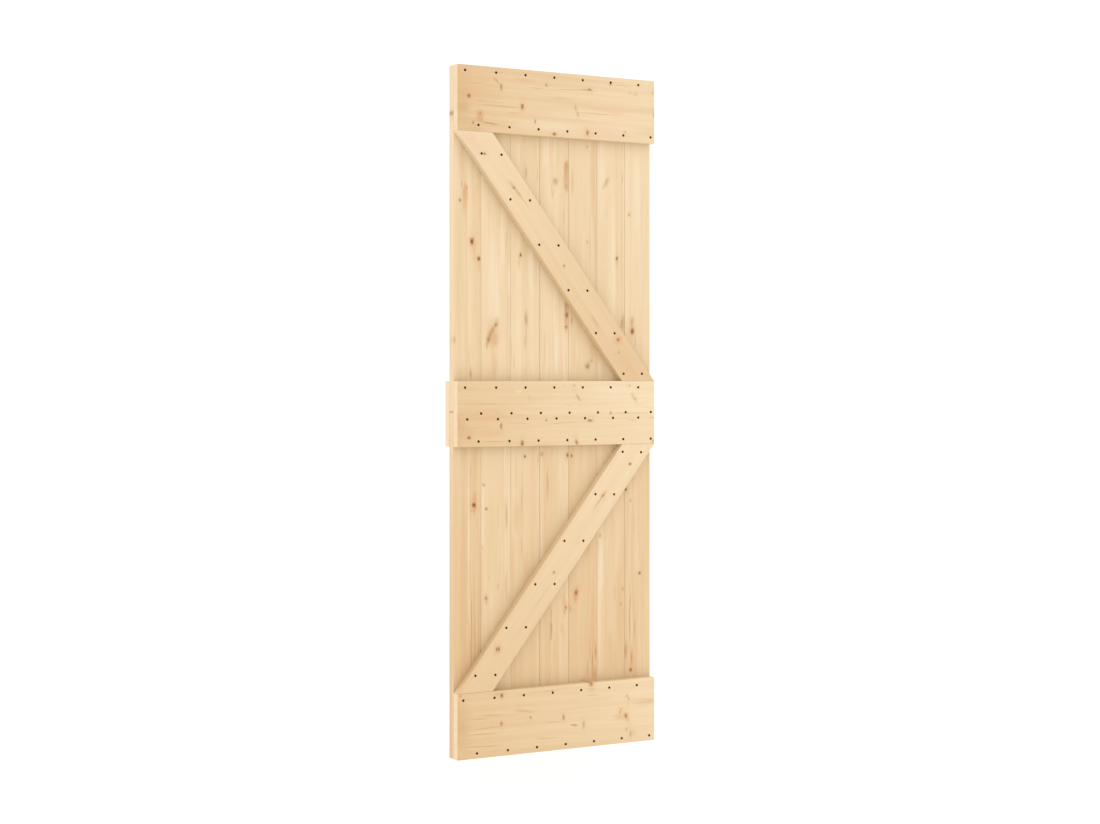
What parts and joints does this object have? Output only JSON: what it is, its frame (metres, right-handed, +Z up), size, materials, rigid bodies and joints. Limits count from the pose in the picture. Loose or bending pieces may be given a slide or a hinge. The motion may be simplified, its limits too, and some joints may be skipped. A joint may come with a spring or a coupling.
{
  "type": "wooden sliding door leaf",
  "caption": "Rustic pine sliding door leaf: upright tongued and grooved planks under level rails and two braces that make a K on the front.",
  "frame": {"origin": "middle of the top rail's front face, where the hangers of the sliding gear bolt on", "axes": "+Z up the leaf, +X to the right seen from the braced front, +Y from the front to the back"},
  "size_m": [0.7, 0.084, 2.1],
  "materials": {
    "pine_planks": "bare planed knotty pine",
    "pine_rails": "bare planed knotty pine",
    "pine_braces": "bare planed knotty pine",
    "screws": "dark phosphated steel"
  },
  "bodies": {
    "root": {"top_rail": "pine_rails", "middle_rail": "pine_rails", "bottom_rail": "pine_rails", "back_rail": "pine_rails", "upper_brace": "pine_braces", "lower_brace": "pine_braces", "upper_plank_1": "pine_planks", "upper_plank_2": "pine_planks", "upper_plank_3": "pine_planks", "upper_plank_4": "pine_planks", "upper_plank_5": "pine_planks", "upper_plank_6": "pine_planks", "upper_plank_7": "pine_planks", "lower_plank_1": "pine_planks", "lower_plank_2": "pine_planks", "lower_plank_3": "pine_planks", "lower_plank_4": "pine_planks", "lower_plank_5": "pine_planks", "lower_plank_6": "pine_planks", "lower_plank_7": "pine_planks"}
  },
  "joints": []
}
